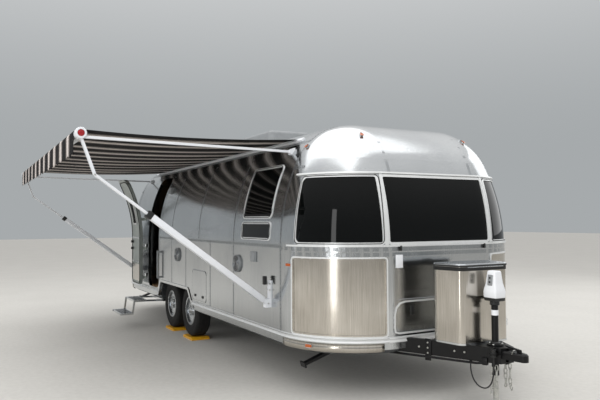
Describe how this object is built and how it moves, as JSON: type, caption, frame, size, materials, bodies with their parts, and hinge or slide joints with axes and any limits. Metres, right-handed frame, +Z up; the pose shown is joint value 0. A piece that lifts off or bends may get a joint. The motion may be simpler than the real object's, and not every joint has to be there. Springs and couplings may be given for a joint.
{
  "type": "travel caravan",
  "caption": "Riveted round-ended travel caravan on two axles, awning out, entry door open, standing on its tongue jack.",
  "frame": {"origin": "centre of the tongue jack's foot, on the ground", "axes": "+X forward to the tow vehicle, +Y the street side, +Z up"},
  "size_m": [8.4385, 4.4356, 2.835],
  "materials": {
    "polished_aluminium": "mirror polished, riveted sheet",
    "door_liner": "satin inner skin, polished outer skin",
    "floor_board": "sealed ply with vinyl",
    "galvanised_sheet": "galvanised sheet",
    "bright_trim": "bright extrusion",
    "stainless": "polished stainless sheet",
    "dark_glass": "dark tinted glass",
    "black_steel": "semi-gloss black enamel",
    "white_plastic": "moulded, fine grain",
    "zinc_steel": "zinc plated",
    "bottle_paint": "white enamel",
    "dark_lid": "dark moulded lid with black rim",
    "black_rubber": "cable jacket",
    "black_plastic": "moulded",
    "tyre_rubber": "road tyre",
    "wheel_alloy": "polished alloy",
    "yellow_plastic": "ochre yellow moulded pads",
    "white_aluminium": "white coated aluminium",
    "awning_fabric": "striped woven acrylic",
    "amber_lens": "amber lens",
    "red_lens": "red lens",
    "fitting_plastic": "pale grey moulded"
  },
  "bodies": {
    "front_left_wheel": {"front_left_rim": "wheel_alloy", "front_left_tyre": "tyre_rubber"},
    "front_right_wheel": {"front_right_rim": "wheel_alloy", "front_right_tyre": "tyre_rubber"},
    "rear_left_wheel": {"rear_left_rim": "wheel_alloy", "rear_left_tyre": "tyre_rubber"},
    "rear_right_wheel": {"rear_right_rim": "wheel_alloy", "rear_right_tyre": "tyre_rubber"},
    "entry_door": {"entry_door": "door_liner", "entry_door_glass": "dark_glass"},
    "locker_door": {"locker_door": "polished_aluminium"},
    "front_hatch": {"front_hatch": "polished_aluminium"},
    "gas_cover_lid": {"gas_cover_lid": "dark_lid"},
    "stabiliser_front_left": {"stabiliser_front_left": "black_steel"},
    "stabiliser_front_right": {"stabiliser_front_right": "black_steel"},
    "stabiliser_rear_left": {"stabiliser_rear_left": "black_steel"},
    "stabiliser_rear_right": {"stabiliser_rear_right": "black_steel"},
    "root": {"curb_side_wall": "polished_aluminium", "street_side_wall": "polished_aluminium", "roof_panel": "polished_aluminium", "front_end_lower": "polished_aluminium", "front_end_upper": "polished_aluminium", "rear_end_lower": "polished_aluminium", "rear_end_upper": "polished_aluminium", "service_covers": "polished_aluminium", "floor": "floor_board", "belly_pan": "galvanised_sheet", "wheel_wells": "galvanised_sheet", "stabiliser_brackets": "galvanised_sheet", "rub_rail": "bright_trim", "wheel_arch_trims": "bright_trim", "window_frames": "bright_trim", "door_hinges": "bright_trim", "rear_bumper": "bright_trim", "stone_guards": "stainless", "gas_cover": "stainless", "window_glass": "dark_glass", "a_frame": "black_steel", "coupler": "black_steel", "jack_post": "black_steel", "front_axle": "black_steel", "rear_axle": "black_steel", "jack_head": "white_plastic", "air_conditioner": "white_plastic", "roof_vents": "white_plastic", "jack_leg": "zinc_steel", "safety_chains": "zinc_steel", "gas_bottles": "bottle_paint", "tow_cable": "black_rubber", "tow_plug": "black_plastic", "leveling_pads": "yellow_plastic", "awning_rail": "white_aluminium", "front_awning_arm": "white_aluminium", "rear_awning_arm": "white_aluminium", "entry_step": "white_aluminium", "awning_cloth": "awning_fabric", "awning_roller": "awning_fabric", "marker_lights": "amber_lens", "tail_lights": "red_lens", "side_fittings": "fitting_plastic"}
  },
  "joints": [
    {"name": "front_left_spin", "type": "hinge", "parent": "root", "child": "front_left_wheel", "pos_m": [-4.41, 1.1025, 0.3803], "axis": [0, 1, 0], "continuous": true},
    {"name": "front_right_spin", "type": "hinge", "parent": "root", "child": "front_right_wheel", "pos_m": [-4.41, -1.1025, 0.3803], "axis": [0, 1, 0], "continuous": true},
    {"name": "rear_left_spin", "type": "hinge", "parent": "root", "child": "rear_left_wheel", "pos_m": [-5.25, 1.1025, 0.3803], "axis": [0, 1, 0], "continuous": true},
    {"name": "rear_right_spin", "type": "hinge", "parent": "root", "child": "rear_right_wheel", "pos_m": [-5.25, -1.1025, 0.3803], "axis": [0, 1, 0], "continuous": true},
    {"name": "entry_door_swing", "type": "hinge", "parent": "root", "child": "entry_door", "pos_m": [-6.224, -1.332, 0.9], "axis": [0, 0, 1], "range_deg": [0, 182]},
    {"name": "locker_door_lift", "type": "hinge", "parent": "root", "child": "locker_door", "pos_m": [-3.76, -1.2948, 0.977], "axis": [-1, 0, 0], "range_deg": [0, 110]},
    {"name": "front_hatch_lift", "type": "hinge", "parent": "root", "child": "front_hatch", "pos_m": [-0.6452, 0, 0.892], "axis": [0, -1, 0], "range_deg": [0, 35]},
    {"name": "gas_lid_lift", "type": "hinge", "parent": "root", "child": "gas_cover_lid", "pos_m": [-0.0997, 0, 1.2013], "axis": [0, 1, 0], "range_deg": [0, 70]},
    {"name": "stabiliser_front_left_swing", "type": "hinge", "parent": "root", "child": "stabiliser_front_left", "pos_m": [-1.29, 0.8, 0.371], "axis": [-1, 0, 0], "range_deg": [-16, 62]},
    {"name": "stabiliser_front_right_swing", "type": "hinge", "parent": "root", "child": "stabiliser_front_right", "pos_m": [-1.29, -0.8, 0.371], "axis": [1, 0, 0], "range_deg": [-16, 62]},
    {"name": "stabiliser_rear_left_swing", "type": "hinge", "parent": "root", "child": "stabiliser_rear_left", "pos_m": [-7.3, 0.8, 0.371], "axis": [-1, 0, 0], "range_deg": [-16, 62]},
    {"name": "stabiliser_rear_right_swing", "type": "hinge", "parent": "root", "child": "stabiliser_rear_right", "pos_m": [-7.3, -0.8, 0.371], "axis": [1, 0, 0], "range_deg": [-16, 62]}
  ]
}
